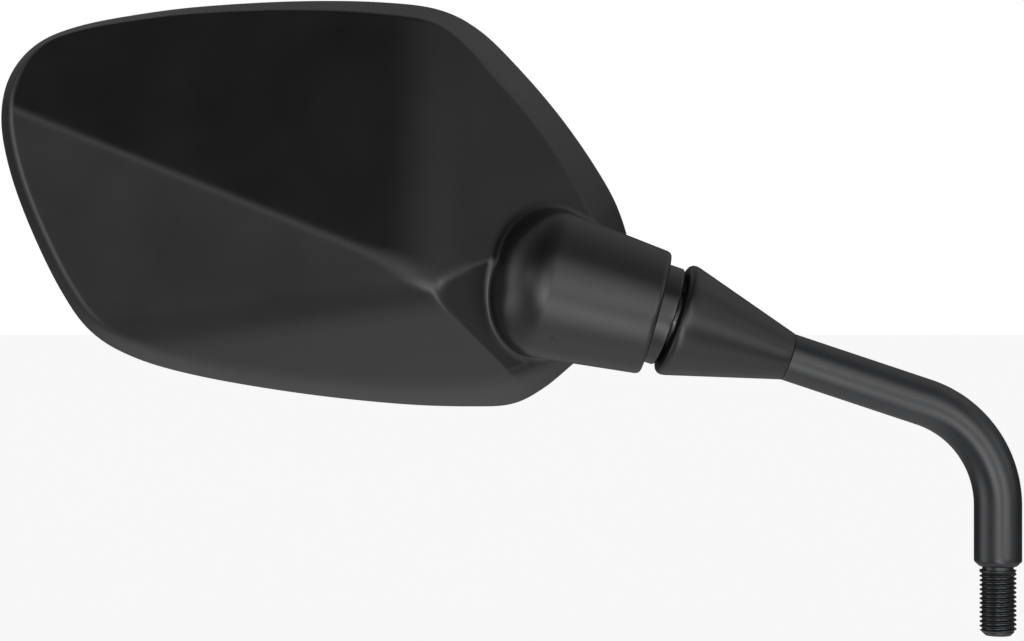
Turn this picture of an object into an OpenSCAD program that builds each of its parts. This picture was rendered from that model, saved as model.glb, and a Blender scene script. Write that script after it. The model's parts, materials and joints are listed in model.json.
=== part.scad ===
// Right-hand motorcycle mirror: a bent threaded stem, a sprung ball joint and a one-piece faceted shell.
// Lengths are millimetres and angles degrees. The origin is the stem's shoulder on the thread's axis.
// +Z runs up the stem, the head lies towards -X, and the glass faces +Y.

/* [Stem rod] */
// Diameter of the bent rod
rod_d = 13; // [12:0.5:15]
// Diameter of the foot's thread
thread_d = 10; // [8:0.5:10]
// Length of the foot's thread below the shoulder, with its end chamfer
thread_l = 19; // [12:1:30]
// Chamfer at the thread's free end
thread_chamfer = 1.5; // [0.8:0.1:2]
// Chamfer of the shoulder above the thread
shoulder_chamfer = 1.3; // [0.5:0.1:1.4]
// Height of the bend's corner above the shoulder
corner_z = 38.2; // [34:0.2:60]
// Radius of the bend's centreline
bend_r = 30; // [22:1:34]
// Slope of the upper arm above level
incline = 18.3; // [14:0.1:22]
// Turn of the whole stem about its thread
stem_yaw = 4; // [0:0.5:6]
// Level distance from the thread's axis to the ball
reach = 100.75; // [96:0.25:140]

/* [Stem end] */
// Length of the cone cover
cone_l = 33.6; // [31:0.1:40]
// Largest diameter of the cone cover
cone_d = 31.2; // [29:0.2:34]
// Wall of the cone cover
cone_wall = 2.2; // [1.5:0.1:2.6]
// Rounding of the cone's large end
cone_round = 2.2; // [0.8:0.1:2.4]
// Open gap between the collar and the cone
cone_gap = 0.9; // [0.6:0.1:2]
// Width across flats of the coupling nut
nut_flats = 13; // [11:0.5:14]
// Length of the coupling nut
nut_l = 19; // [15:0.5:21]
// Thickness of the spring washer
spring_washer_t = 1.5; // [1:0.1:1.8]

/* [Ball joint] */
// Diameter of the ball
ball_d = 14; // [13:0.2:14.6]
// Diameter of the ball's neck
stud_neck_d = 9.2; // [8.6:0.1:9.4]
// Diameter of the stud's thread
stud_d = 8; // [6:0.5:8]
// Running gap on each side of a seat ring
seat_gap = 0.15; // [0.1:0.05:0.25]
// Thickness of the seat rings
ring_t = 1.05; // [0.8:0.05:1.2]
// Outside diameter of the collar
collar_d = 27.3; // [26:0.1:27.5]
// Wall of the collar's skirt
collar_wall = 1.25; // [0.8:0.05:1.4]
// Thickness of the collar's base
collar_base_t = 2.8; // [1.8:0.1:3.2]
// Diameter of the socket housing's body
housing_d = 24; // [23.6:0.1:24.6]
// Length of the socket housing behind the ball
housing_l = 22; // [20:0.5:26]
// Wire of the pressure spring
spring_wire = 1.6; // [1.2:0.1:1.8]
// Turns of the pressure spring
spring_turns = 3.5; // [2.5:0.5:3.5]

/* [Neck] */
// Slope of the neck's axis below level, towards the stem
neck_slope = 14.5; // [10:0.5:18]
// Distance from the ball's centre to the neck's mouth
mouth_s = 6.3; // [6:0.1:7]
// Outside diameter at the neck's mouth
neck_d = 34.1; // [30:0.1:38]
// Bore of the neck at its lip
lip_bore = 30.6; // [30.4:0.1:31.5]
// Half-angle at which the neck widens towards the shell
neck_taper = 6.3; // [4:0.1:8]
// Lean of the neck's centreline away from the joint's axis
neck_lean = 0.7; // [0:0.1:3]
// Drop of the neck's outside below the joint's axis
neck_drop = 0.6; // [0:0.1:0.8]
// Length of the neck from its mouth to its domed end
neck_l = 50; // [44:0.5:54]
// Length of the neck's domed end
dome_l = 17; // [14:0.5:20]
// Wall of the neck around the room behind the housing
neck_wall = 1.8; // [1.4:0.1:2.4]
// Rounding of the neck's mouth
neck_round = 1.2; // [0.8:0.1:1.6]

/* [Shell] */
// Depth of the joint's axis behind the rim
axis_depth = 24; // [23:0.5:28]
// Depth of the facets' common peak behind the rim
peak_depth = 42; // [38:0.5:50]
// Wall of the shell
wall = 2.4; // [1.8:0.1:3]
// Depth of the straight pocket for the glass
pocket_depth = 6; // [5:0.5:8]

/* [Glass] */
// Gap between the glass and its pocket
glass_gap = 0.5; // [0.2:0.1:1]
// Thickness of the glass
glass_t = 2; // [1.5:0.1:3]
// Radius of the convex face
glass_r = 1400; // [1000:50:2000]
// Depth of the glass's crown behind the rim
glass_set = 0.6; // [0.3:0.1:2]
// Thickness of the adhesive foam pad
foam_t = 1; // [0.5:0.1:1.5]
// Thickness of the backing plate
plate_t = 2; // [1.6:0.1:2.6]
// Diameter of the bosses behind the plate
boss_d = 8; // [7:0.5:10]
// Diameter of the screws that hold the plate
plate_screw_d = 3; // [2.5:0.1:3.5]
// Length of those screws in the bosses
plate_screw_l = 6; // [4:0.5:7]

/* [Hidden] */
$fn = 96;
fit = 0.1;      // gap between two fixed pieces of one body
over = 1;       // how far a cutter runs past the face it cuts
arm_lap = 0.4;  // how far the straight arm runs into the bend, a hair thinner than it
hair = 0.02;

// Frames: the ball's centre, the stem's axis from there to the rod, and the neck's from there to its mouth
ball_at = [-reach * cos(stem_yaw), -reach * sin(stem_yaw), corner_z + reach * tan(incline)];
rim_y = axis_depth;
bend_turn = 90 - incline;
bend_tangent = bend_r * tan(bend_turn / 2);
arm_end_s = reach / cos(incline) - bend_tangent;

module at_ball() { translate(ball_at) children(); }
module along_stem() { rotate([0, 90 + incline, stem_yaw]) children(); }
module along_neck() { rotate([0, 90 + neck_slope, 0]) children(); }
module turned(profile) { rotate_extrude() polygon(profile); }

// Points of an arc about a centre, from one angle to another
function arc(centre, r, a0, a1, n = 8) =
    [for (i = [0:n]) let (a = a0 + (a1 - a0) * i / n) centre + r * [cos(a), sin(a)]];
// A point at a distance and a polar angle from the axis, as radius and height
function polar_rs(r, a) = [r * sin(a), r * cos(a)];

// The joint's sizes are given for a neck of this diameter, and keep their proportions to the neck
neck_ref_d = 34.1;
joint_k = neck_d / neck_ref_d;

// Places along the stem's axis, from the ball's centre towards the rod
mouth_at = joint_k * mouth_s;
mouth_gap = 0.9;                          // between the neck's mouth and the collar's base
skirt_l = 2.8;                            // the collar's skirt reaches back over the housing's nose
collar_s0 = mouth_at + joint_k * mouth_gap;
collar_s1 = collar_s0 + collar_base_t;
skirt_s = collar_s0 - joint_k * skirt_l;
collar_r = joint_k * collar_d / 2;
collar_ri = collar_r - joint_k * collar_wall;
washer_s1 = collar_s1 + spring_washer_t;
nut_s1 = washer_s1 + nut_l;
nut_space = 2;                            // between the two threads that meet inside the nut
stud_s1 = washer_s1 + (nut_l - nut_space) / 2;
spigot_s0 = stud_s1 + nut_space;
spigot_d = stud_d + 1;
stud_chamfer = 0.8;
cone_s0 = collar_s1 + cone_gap;
cone_s1 = cone_s0 + cone_l;
cone_max_s = cone_s0 + cone_round;
cone_slope = (cone_d - rod_d) / 2 / (cone_s1 - cone_max_s);
function cone_r(s) = rod_d / 2 + (cone_s1 - s) * cone_slope;

module stem_rod() {
    arm_l = arm_end_s - cone_s1;
    foot_l = corner_z - bend_tangent;
    color("#26272a") rotate([0, 0, stem_yaw]) {
        translate([0, 0, -thread_l])
            cylinder(d1 = thread_d - 2 * thread_chamfer, d2 = thread_d, h = thread_chamfer);
        translate([0, 0, thread_chamfer - thread_l]) cylinder(d = thread_d, h = thread_l - thread_chamfer);
        cylinder(d1 = rod_d - 2 * shoulder_chamfer, d2 = rod_d, h = shoulder_chamfer);
        translate([0, 0, shoulder_chamfer]) cylinder(d = rod_d, h = foot_l - shoulder_chamfer);
        translate([-bend_r, 0, foot_l]) {
            rotate([90, 0, 0]) rotate_extrude(angle = bend_turn) translate([bend_r, 0]) circle(d = rod_d);
            rotate([0, -bend_turn, 0]) translate([bend_r, 0, 0]) {
                translate([0, 0, -arm_lap]) cylinder(d = rod_d - hair, h = arm_l + arm_lap);
                translate([0, 0, arm_l]) cylinder(d = spigot_d, h = cone_s1 - nut_s1);
                translate([0, 0, arm_l + cone_s1 - nut_s1]) cylinder(d = stud_d, h = nut_s1 - spigot_s0);
            }
        }
    }
}

module cone_cover() {
    floor_s = nut_s1 + fit;
    mouth_r = cone_d / 2 - cone_wall - 1;
    end_s = cone_s1 - fit / 2;
    color("#1e1f20") at_ball() along_stem() turned(concat(
        [[spigot_d / 2 + fit, end_s], [rod_d / 2, end_s], [cone_r(cone_max_s), cone_max_s]],
        arc([cone_r(cone_max_s) - cone_round, cone_max_s], cone_round, -12, -90),
        [[mouth_r, cone_s0], [mouth_r, cone_s0 + 1], [cone_r(floor_s) - cone_wall, floor_s],
         [spigot_d / 2 + fit, floor_s]]));
}

module coupling_nut() {
    color("#8a8d90") at_ball() along_stem() translate([0, 0, washer_s1]) difference() {
        cylinder(d = nut_flats / cos(30), h = nut_l, $fn = 6);
        translate([0, 0, -over]) cylinder(d = stud_d + 2 * fit, h = nut_l + 2 * over);
    }
}

// A split washer whose slit leans
module spring_washer() {
    slit = 0.8;
    color("#9a9da0") at_ball() along_stem() translate([0, 0, collar_s1]) difference() {
        cylinder(d = nut_flats - 5 * fit, h = spring_washer_t);
        translate([0, 0, -over]) cylinder(d = stud_d + 4 * fit, h = spring_washer_t + 2 * over);
        translate([nut_flats / 2, 0, spring_washer_t / 2]) rotate([30, 0, 0])
            cube([nut_flats, slit, 3 * spring_washer_t], center = true);
    }
}

module joint_collar() {
    r = collar_r;
    skirt_edge = 0.3;
    base_edge = 0.5;
    color("#101112") at_ball() along_stem() turned([
        [stud_d / 2 + fit, collar_s0], [collar_ri, collar_s0], [collar_ri, skirt_s],
        [r - skirt_edge, skirt_s], [r, skirt_s + skirt_edge], [r, collar_s1 - base_edge],
        [r - base_edge, collar_s1], [stud_d / 2 + fit, collar_s1]]);
}

module ball_stud() {
    thread_s = stud_s1 - stud_chamfer;
    color("#b4b6b8") at_ball() along_stem() {
        sphere(d = joint_k * ball_d);
        cylinder(d = joint_k * stud_neck_d, h = collar_s0);
        translate([0, 0, collar_s0 - over]) cylinder(d = stud_d, h = thread_s - collar_s0 + over);
        translate([0, 0, thread_s]) cylinder(d1 = stud_d, d2 = stud_d - 2 * stud_chamfer, h = stud_chamfer);
    }
}

// Sizes of the socket, from the ball outwards
ring_ri = joint_k * (ball_d / 2 + seat_gap);
ring_ro = ring_ri + joint_k * ring_t;
seat_r = ring_ro + joint_k * seat_gap;
front_ring_a = [53, 84];     // polar angles that each ring covers, from the neck's mouth
rear_ring_a = [98, 140];
seat_edge_a = 50;            // and the one at which the housing's seat ends
cup_wall = joint_k * 0.7;
cup_r = seat_r + cup_wall;
cup_s0 = joint_k * -9.5;
cup_s1 = joint_k * -1.6;
thrust_t = 1;
thrust_bore = 6;
housing_r = joint_k * housing_d / 2;
housing_s0 = joint_k * -housing_l;
housing_edge = 1.6;
nose_r = collar_ri - joint_k * 1.5;    // the nose stands inside the collar's skirt, clear when tilted
nose_s = joint_k * [3.8, 4.6];
nose_chamfer = joint_k * 0.9;
shoulder_s = joint_k * 1.3;            // the neck's inner shoulder faces the mouth here
shoulder_t = 1.6;
step_s = joint_k * -16;                // the step that the housing's flange rests on
flange_t = 2;
flange_r = housing_r + joint_k * 4.3;
screw_ring_r = housing_r + joint_k * 2.1;
screw_angles = [-90, -10, 190];
screw_d = 2.2;
screw_l = 7;                 // in the neck's step
screw_head_d = 4;
screw_head_t = 1.6;
retainer_t = 2.4;
retainer_s0 = housing_s0 + 1.6;
retainer_s1 = retainer_s0 + retainer_t;
key_flats = 8;
clip_t = 0.7;
clip_groove = 0.8;

// The part of a spherical wall that lies between two polar angles
module sphere_band(r_in, r_out, angles) {
    far = 3 * r_out;
    intersection() {
        difference() {
            sphere(r = r_out);
            sphere(r = r_in);
        }
        turned([[0, 0], polar_rs(far, angles[0]), polar_rs(far, angles[1])]);
    }
}

module front_seat_ring() {
    color("#e6e4dc") at_ball() along_neck() sphere_band(ring_ri, ring_ro, front_ring_a);
}

module rear_seat_ring() {
    color("#e6e4dc") at_ball() along_neck() sphere_band(ring_ri, ring_ro, rear_ring_a);
}

module socket_housing() {
    mouth = polar_rs(seat_r, seat_edge_a);
    body_s = shoulder_s - shoulder_t - fit;
    bore_s = joint_k * -1.2;
    color("#a3a6a8") at_ball() along_neck() difference() {
        turned([[0, housing_s0], [housing_r - housing_edge, housing_s0],
                [housing_r - housing_edge, step_s - flange_t], [flange_r, step_s - flange_t],
                [flange_r, step_s - fit], [housing_r, step_s - fit], [housing_r, body_s], [nose_r, body_s],
                [nose_r, nose_s[0]], [nose_r - nose_chamfer, nose_s[1]], mouth, [0, mouth[1]]]);
        sphere(r = seat_r);
        translate([0, 0, housing_s0 - over]) cylinder(r = cup_r + fit, h = bore_s - housing_s0 + over);
        cylinder(r = mouth[0], h = mouth[1] + over);
        translate([0, 0, retainer_s0 - clip_groove - fit])
            cylinder(r = cup_r + clip_groove, h = clip_groove);
        for (a = screw_angles) rotate([0, 0, a]) translate([screw_ring_r, 0, step_s - flange_t - over])
            cylinder(d = screw_d + 4 * fit, h = flange_t + 2 * over);
    }
}

module housing_screws() {
    color("#6f7275") at_ball() along_neck() for (a = screw_angles) rotate([0, 0, a])
        translate([screw_ring_r, 0, step_s - flange_t]) {
            cylinder(d = screw_d, h = flange_t + screw_l);
            translate([0, 0, -screw_head_t])
                cylinder(d1 = screw_head_d - 1, d2 = screw_head_d, h = screw_head_t);
        }
}

module pressure_cup() {
    chamfer = 1;
    color("#d9d7cf") at_ball() along_neck() difference() {
        turned([[0, cup_s0], [cup_r - chamfer, cup_s0], [cup_r, cup_s0 + chamfer], [cup_r, cup_s1],
                [0, cup_s1]]);
        sphere(r = seat_r);
    }
}

module thrust_washer() {
    color("#9a9da0") at_ball() along_neck() translate([0, 0, cup_s0 - thrust_t]) difference() {
        cylinder(r = cup_r - 3 * fit, h = thrust_t - fit / 2);
        translate([0, 0, -over]) cylinder(d = thrust_bore, h = thrust_t + 2 * over);
    }
}

// One ring of a swept round wire: wire_sides points about the helix point at angle t
wire_sides = 8;
wire_steps = 20;             // rings in each turn
function wire_ring(t, r, z, wire, pitch) = let (lead = atan(pitch / (2 * PI * r))) [
    for (k = [0:wire_sides - 1])
        let (a = 360 * k / wire_sides, u = wire / 2 * cos(a), v = wire / 2 * sin(a))
        [(r + u) * cos(t) + v * sin(lead) * sin(t), (r + u) * sin(t) - v * sin(lead) * cos(t),
         z + v * cos(lead)]];

// A helical wire as one closed polyhedron
module coil(r, wire, turns, height) {
    steps = round(turns * wire_steps);
    n = wire_sides;
    pitch = height / turns;
    rings = [for (i = [0:steps]) wire_ring(360 * turns * i / steps, r, height * i / steps, wire, pitch)];
    points = [for (ring = rings) for (p = ring) p];
    sides = [for (i = [0:steps - 1]) for (k = [0:n - 1]) let (a = n * i + k, b = n * i + (k + 1) % n)
        [a, b, b + n, a + n]];
    ends = [[for (k = [n - 1:-1:0]) k], [for (k = [0:n - 1]) n * steps + k]];
    polyhedron(points, concat(sides, ends), convexity = 6);
}

module pressure_spring() {
    top = cup_s0 - thrust_t - fit - spring_wire / 2;
    bottom = retainer_s1 + fit + spring_wire / 2;
    color("#8d9094") at_ball() along_neck() translate([0, 0, bottom])
        coil(cup_r - 8 * fit - spring_wire / 2, spring_wire, spring_turns, top - bottom);
}

// A ring nut behind the spring, with a hexagon for its key
module spring_retainer() {
    color("#8a8d90") at_ball() along_neck() translate([0, 0, retainer_s0]) difference() {
        cylinder(r = cup_r, h = retainer_t);
        translate([0, 0, -over]) cylinder(d = key_flats / cos(30), h = retainer_t + 2 * over, $fn = 6);
    }
}

// An open clip in the housing's last groove
module retaining_ring() {
    mouth = 3;
    width = 1.8;
    clip_r = cup_r + clip_groove - 2 * fit;
    color("#5c5f62") at_ball() along_neck() translate([0, 0, retainer_s0 - clip_groove]) difference() {
        cylinder(r = clip_r, h = clip_t);
        translate([0, 0, -over]) cylinder(r = clip_r - width, h = clip_t + 2 * over);
        translate([cup_r, 0, 0]) cube([2 * width + 1, mouth, 4 * clip_t], center = true);
    }
}

// The shell's outline in its own plane: x towards the stem and z up, from the ball's centre
rim_points = [
    [-177.3, 53.2], [-174.8, 65], [-167.2, 74], [-154.8, 79.2], [-135, 82.9], [-116.7, 84.9],
    [-92.7, 86.1], [-70.2, 85.8], [-53.7, 83.7], [-42, 77.7], [-30.5, 66.5], [-19.2, 53.2], [-9.3, 39],
    [-2.9, 27.1], [0.4, 14.4], [-0.6, 1.6], [-7.4, -8.9], [-16.2, -16.8], [-24.3, -23.4],
    [-32.7, -27.6], [-43.5, -28.4], [-64.5, -27.7], [-92.7, -24.7], [-121, -19.9], [-139.6, -14.6],
    [-152, -7.2], [-160.8, 5], [-169.4, 22.9], [-175.1, 39.1]];
peak = [-53.8, 7.4];
// Fall of each facet from the peak, in x and in z; the foot facet starts past the peak
upper_outer = [0.11, -0.342];
upper_inner = [-0.449, -0.358];
lower_outer = [0.3025, 0.135];
foot = [0.185, 1.0];
foot_lift = 4.3;
recess = [-0.624, 0.204];
// Blend widths, as depths, between the facets
fold_blend = 6.7;
roll_blend = 5;
ridge_blend = 0.6;
recess_blend = 1.2;
rim_blend = [1.5, 8];    // crisp along the top, soft along the bottom
// Rise of the side wall per millimetre in from the rim, and what it loses on the side that faces the stem
side_rise = 3.1;
stem_side_lean = 1.2;
stem_side = [0.82, 0.57];
lower_side = [-0.45, -0.89];
wall_y = 1.12 * wall;    // the wall measured along Y, on facets that lean by about 27 degrees
rim_steps = 3;           // points for each outline point
plan_steps = [0.35, 0.9, 2, 4, 7, 11, 16];    // distances in from the rim where the grid has a ring
peak_steps = 8;          // rings from there to the peak

function curve(p0, p1, p2, p3, t) = (2 * p1 + (p2 - p0) * t + (2 * p0 - 5 * p1 + 4 * p2 - p3) * t * t
    + (3 * p1 - p0 - 3 * p2 + p3) * t * t * t) / 2;
function closed_curve(pts, m) = let (n = len(pts)) [for (i = [0:n - 1]) for (k = [0:m - 1])
    curve(pts[(i + n - 1) % n], pts[i], pts[(i + 1) % n], pts[(i + 2) % n], k / m)];
rim = closed_curve(rim_points, rim_steps);
rim_n = len(rim);
// Outward unit normal of the outline, which runs clockwise
rim_normal = [for (i = [0:rim_n - 1]) let (t = rim[(i + 1) % rim_n] - rim[(i + rim_n - 1) % rim_n])
    [-t[1], t[0]] / norm(t)];
// How fast the distance from the rim grows along the line from each outline point to the peak
rim_cos = [for (i = [0:rim_n - 1]) let (d = rim[i] - peak) (d * rim_normal[i]) / norm(d)];

function clamp(x, lo, hi) = min(max(x, lo), hi);
function smooth_min(a, b, k) = let (h = max(k - abs(a - b), 0) / k) min(a, b) - h * h * k / 4;
function facet(p, fall) = peak_depth + (p - peak) * fall;
function facets(p) = smooth_min(
    smooth_min(smooth_min(facet(p, upper_outer), facet(p, upper_inner), fold_blend),
        smooth_min(facet(p, lower_outer), facet(p, foot) + foot_lift, roll_blend), ridge_blend),
    facet(p, recess), recess_blend);
function wall_rise(n) = side_rise - stem_side_lean * pow(max(0, n * stem_side), 4);
// The edge above the side wall is crisp where the wall faces up and softens as it turns down
function wall_soft(n) = let (t = clamp(1 + n * lower_side / 0.6, 0, 1))
    rim_blend[0] + (rim_blend[1] - rim_blend[0]) * t;

// A point at distance e in from outline point i, and the depth of the outer and inner faces there
function at_rim(i, e) = rim[i] + (peak - rim[i]) * min(e / rim_cos[i] / norm(peak - rim[i]), 1);
function outer_depth(i, e) = let (n = rim_normal[i])
    smooth_min(facets(at_rim(i, e)), wall_rise(n) * e, wall_soft(n));
function inner_depth(i, e) = min(outer_depth(i, e) - wall_y, wall_rise(rim_normal[i]) * (e - wall));
function full_e(i) = norm(peak - rim[i]) * rim_cos[i];
// Where the pocket's straight side stands, in from the rim
function lip_e(i) = wall + pocket_depth / wall_rise(rim_normal[i]);
function ring_e(i, j, e0) = let (m = len(plan_steps), e1 = e0 + plan_steps[m - 1])
    j < m ? e0 + plan_steps[j] : e1 + (full_e(i) - e1) * (j - m + 1) / (peak_steps + 1);
ring_n = len(plan_steps) + peak_steps;

// A closed body from a stack of rings of n points each, ended by a flat face and by one point
module ringed(rings, tip) {
    n = len(rings[0]);
    m = len(rings);
    points = concat([for (r = rings) for (p = r) p], [tip]);
    sides = [for (j = [0:m - 2]) for (i = [0:n - 1]) let (a = j * n + i, b = j * n + (i + 1) % n)
        each [[a, b, b + n], [a, b + n, a + n]]];
    cap = [for (i = [0:n - 1]) [(m - 1) * n + i, (m - 1) * n + (i + 1) % n, m * n]];
    polyhedron(points, concat(sides, cap, [[for (i = [n - 1:-1:0]) i]]), convexity = 8);
}

module shell_body() {
    edge = [for (p = rim) [p[0], rim_y, p[1]]];
    rings = [for (j = [0:ring_n - 1]) [for (i = [0:rim_n - 1]) let (e = ring_e(i, j, 0), p = at_rim(i, e))
        [p[0], rim_y - outer_depth(i, e), p[1]]]];
    ringed(concat([edge], rings), [peak[0], rim_y - facets(peak), peak[1]]);
}

module shell_cavity() {
    lip = [for (i = [0:rim_n - 1]) at_rim(i, lip_e(i))];
    sides = [for (y = [rim_y + over, rim_y - pocket_depth]) [for (p = lip) [p[0], y, p[1]]]];
    rings = [for (j = [0:ring_n - 1]) [for (i = [0:rim_n - 1])
        let (e = ring_e(i, j, lip_e(i)), p = at_rim(i, e), depth = max(inner_depth(i, e), pocket_depth))
            [p[0], rim_y - depth, p[1]]]];
    ringed(concat(sides, rings), [peak[0], rim_y - facets(peak) + wall_y, peak[1]]);
}

// The neck's outside: a drafted cone with a domed end, which leans from the joint's axis about the mouth
neck_end_s = mouth_at - neck_l;
dome_s = neck_end_s + dome_l;
function neck_cone_r(s) = neck_d / 2 + (mouth_at - s) * tan(neck_taper);
function dome_points(r, l) = [for (a = [78:-13:0]) [r * cos(a), dome_s - l * sin(a)]];

module neck_body() {
    mouth = arc([neck_d / 2 - neck_round, mouth_at - neck_round], neck_round, 0, 90, 6);
    translate([joint_k * neck_drop, 0, mouth_at]) rotate([0, neck_lean, 0]) translate([0, 0, -mouth_at])
        turned(concat([[0, neck_end_s]], dome_points(neck_cone_r(dome_s), dome_l), mouth, [[0, mouth_at]]));
}

// The neck's inside: lip, inner shoulder, the housing's bore, and the domed room behind it
module neck_bore() {
    bore_r = housing_r + fit;
    nose_bore_r = nose_r + 2 * fit;
    room_l = dome_l - 3;
    lip_r = joint_k * lip_bore / 2;
    room_r = [for (s = [step_s, dome_s])
        neck_cone_r(s) - (mouth_at - s) * tan(neck_lean) - joint_k * neck_drop - neck_wall];
    profile = [
        [0, mouth_at + over], [lip_r, mouth_at + over], [lip_r, mouth_at], [lip_r - 0.5, shoulder_s],
        [nose_bore_r, shoulder_s], [nose_bore_r, shoulder_s - shoulder_t],
        [bore_r, shoulder_s - shoulder_t], [bore_r, step_s], [room_r[0], step_s]];
    dome = dome_points(room_r[1], room_l);
    turned(concat(profile, [for (i = [len(dome) - 1:-1:0]) dome[i]], [[0, dome_s - room_l]]));
}

// Bosses that carry the backing plate, and the glass's crown, from the ball's centre
boss_at = [[-140, 46], [-65.5, 61], [-131.5, 6], [-55.5, -9]];
crown_at = [-87.5, 28];
function sag(p) = glass_r - sqrt(glass_r * glass_r - pow(norm(p - crown_at), 2));
foam_set = glass_set + glass_t;
plate_set = foam_set + foam_t;
boss_gap = fit + boss_d / 2 * max([for (p = boss_at) norm(p - crown_at)]) / glass_r;
boss_set = plate_set + plate_t + boss_gap;
plate_inset = glass_gap + 1.5;
plate_room = 0.5;            // between the plate's back and the shell's inner face
foam_inset = 2.5;            // in from the plate's edge
plate_head_d = 5.6;
plate_head_t = 0.9;
plate_head_set = 0.2;

// Runs its children along -Y, from a depth behind the glass's crown at a point of the shell's plane
module into_shell(p, depth) {
    translate([p[0], rim_y - depth - sag(p), p[1]]) rotate([90, 0, 0]) children();
}

module mirror_shell() {
    tube_r = housing_r + fit + 2;    // the neck stays solid this far round the housing
    color("#1b1b1b") at_ball() difference() {
        union() {
            shell_body();
            along_neck() neck_body();
        }
        difference() {
            shell_cavity();
            along_neck() translate([0, 0, step_s]) cylinder(r = tube_r, h = mouth_at - step_s);
            for (p = boss_at) into_shell(p, boss_set) cylinder(d = boss_d, h = 2 * peak_depth);
        }
        along_neck() neck_bore();
        along_neck() for (a = screw_angles) rotate([0, 0, a]) translate([screw_ring_r, 0, step_s - over])
            cylinder(d = screw_d + fit, h = over + screw_l + 5 * fit);
        for (p = boss_at) into_shell(p, boss_set - over)
            cylinder(d = plate_screw_d + fit, h = plate_screw_l + over);
    }
}

// How far in from the rim the plate's edge lies: off the pocket's side, and where the shell is deep enough
function room_behind(i, e) = inner_depth(i, e) - (plate_set + plate_t + plate_room + sag(at_rim(i, e)));
function plate_e(i, e) = room_behind(i, e) > 0 ? e : plate_e(i, e + 0.2);
plate_edge = [for (i = [0:rim_n - 1]) plate_e(i, lip_e(i) + plate_inset)];
glass_edge = [for (i = [0:rim_n - 1]) lip_e(i) + glass_gap];

// A plate with its edge at these distances in from the rim, domed like the glass, at a depth
module domed_plate(edge, set, t) {
    outline = [for (i = [0:rim_n - 1]) at_rim(i, edge[i])];
    span = max([for (p = rim) norm(p - crown_at)]) + over;
    drop = 4 * pocket_depth;
    intersection() {
        translate([0, rim_y, 0]) rotate([90, 0, 0]) linear_extrude(drop) polygon(outline);
        translate([crown_at[0], rim_y - set, crown_at[1]]) rotate([-90, 0, 0])
            rotate_extrude() intersection() {
                translate([0, -glass_r]) difference() {
                    circle(r = glass_r, $fn = 2880);
                    circle(r = glass_r - t, $fn = 2880);
                }
                translate([0, -drop]) square([span, 2 * drop]);
            }
    }
}

module mirror_glass() { color("#c9d6dc") at_ball() domed_plate(glass_edge, glass_set, glass_t); }

module foam_pad() {
    edge = [for (e = plate_edge) e + foam_inset];
    color("#3c3c3c") at_ball() domed_plate(edge, foam_set + fit / 4, foam_t - fit / 2);
}

module backing_plate() {
    counterbore = plate_head_set + plate_head_t + fit;
    color("#2a2a2a") at_ball() difference() {
        domed_plate(plate_edge, plate_set, plate_t);
        for (p = boss_at) {
            into_shell(p, foam_set) cylinder(d = plate_screw_d + 4 * fit, h = foam_t + plate_t + over);
            into_shell(p, foam_set) cylinder(d = plate_head_d + 4 * fit, h = foam_t + counterbore);
        }
    }
}

module plate_screws() {
    color("#6f7275") at_ball() for (p = boss_at) into_shell(p, plate_set + plate_head_set) {
        cylinder(d = plate_head_d, h = plate_head_t);
        cylinder(d = plate_screw_d, h = plate_t + plate_screw_l - plate_head_set - fit);
    }
}

stem_rod();
cone_cover();
coupling_nut();
spring_washer();
joint_collar();
ball_stud();
front_seat_ring();
rear_seat_ring();
mirror_shell();
socket_housing();
housing_screws();
pressure_cup();
thrust_washer();
pressure_spring();
spring_retainer();
retaining_ring();
backing_plate();
plate_screws();
foam_pad();
mirror_glass();
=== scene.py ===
"""Finish, light and camera of a motorcycle mirror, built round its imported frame.

Shapes are worked out in millimetres from the ball's centre and put into the meshes in metres. On the head, x runs
towards the stem, z up, and d is the depth behind the rim's plane. On the neck and the stem, s runs along the axis
away from the glass, r is the radius, and phi the angle round the axis, 0 on the side that faces the camera.
"""
import json
from math import atan2, cos, pi, radians, sin, tan

import bpy
import numpy as np
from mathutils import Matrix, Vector


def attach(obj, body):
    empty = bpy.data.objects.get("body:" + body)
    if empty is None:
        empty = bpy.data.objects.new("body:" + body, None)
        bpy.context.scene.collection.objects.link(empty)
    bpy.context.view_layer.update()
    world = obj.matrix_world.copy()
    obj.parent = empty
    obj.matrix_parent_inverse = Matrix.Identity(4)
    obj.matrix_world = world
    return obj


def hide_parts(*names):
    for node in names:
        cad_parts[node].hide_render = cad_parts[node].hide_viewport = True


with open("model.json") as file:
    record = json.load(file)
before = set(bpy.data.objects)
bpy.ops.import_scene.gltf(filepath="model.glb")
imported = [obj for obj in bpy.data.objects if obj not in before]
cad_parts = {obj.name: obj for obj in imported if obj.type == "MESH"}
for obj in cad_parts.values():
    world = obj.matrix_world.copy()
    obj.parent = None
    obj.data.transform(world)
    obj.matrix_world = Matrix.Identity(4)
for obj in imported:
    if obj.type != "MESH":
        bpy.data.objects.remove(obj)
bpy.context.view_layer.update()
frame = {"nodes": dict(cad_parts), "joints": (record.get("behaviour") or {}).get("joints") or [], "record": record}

MM = 0.001
JOINTS = {joint["name"]: joint for joint in frame["joints"]}
MOUNT = frame["record"]["mounts"][0]
BALL = np.array(JOINTS["head_pan"]["pos_m"]) / MM
TWIST_AXIS = JOINTS["head_twist"]["axis"]

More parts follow.
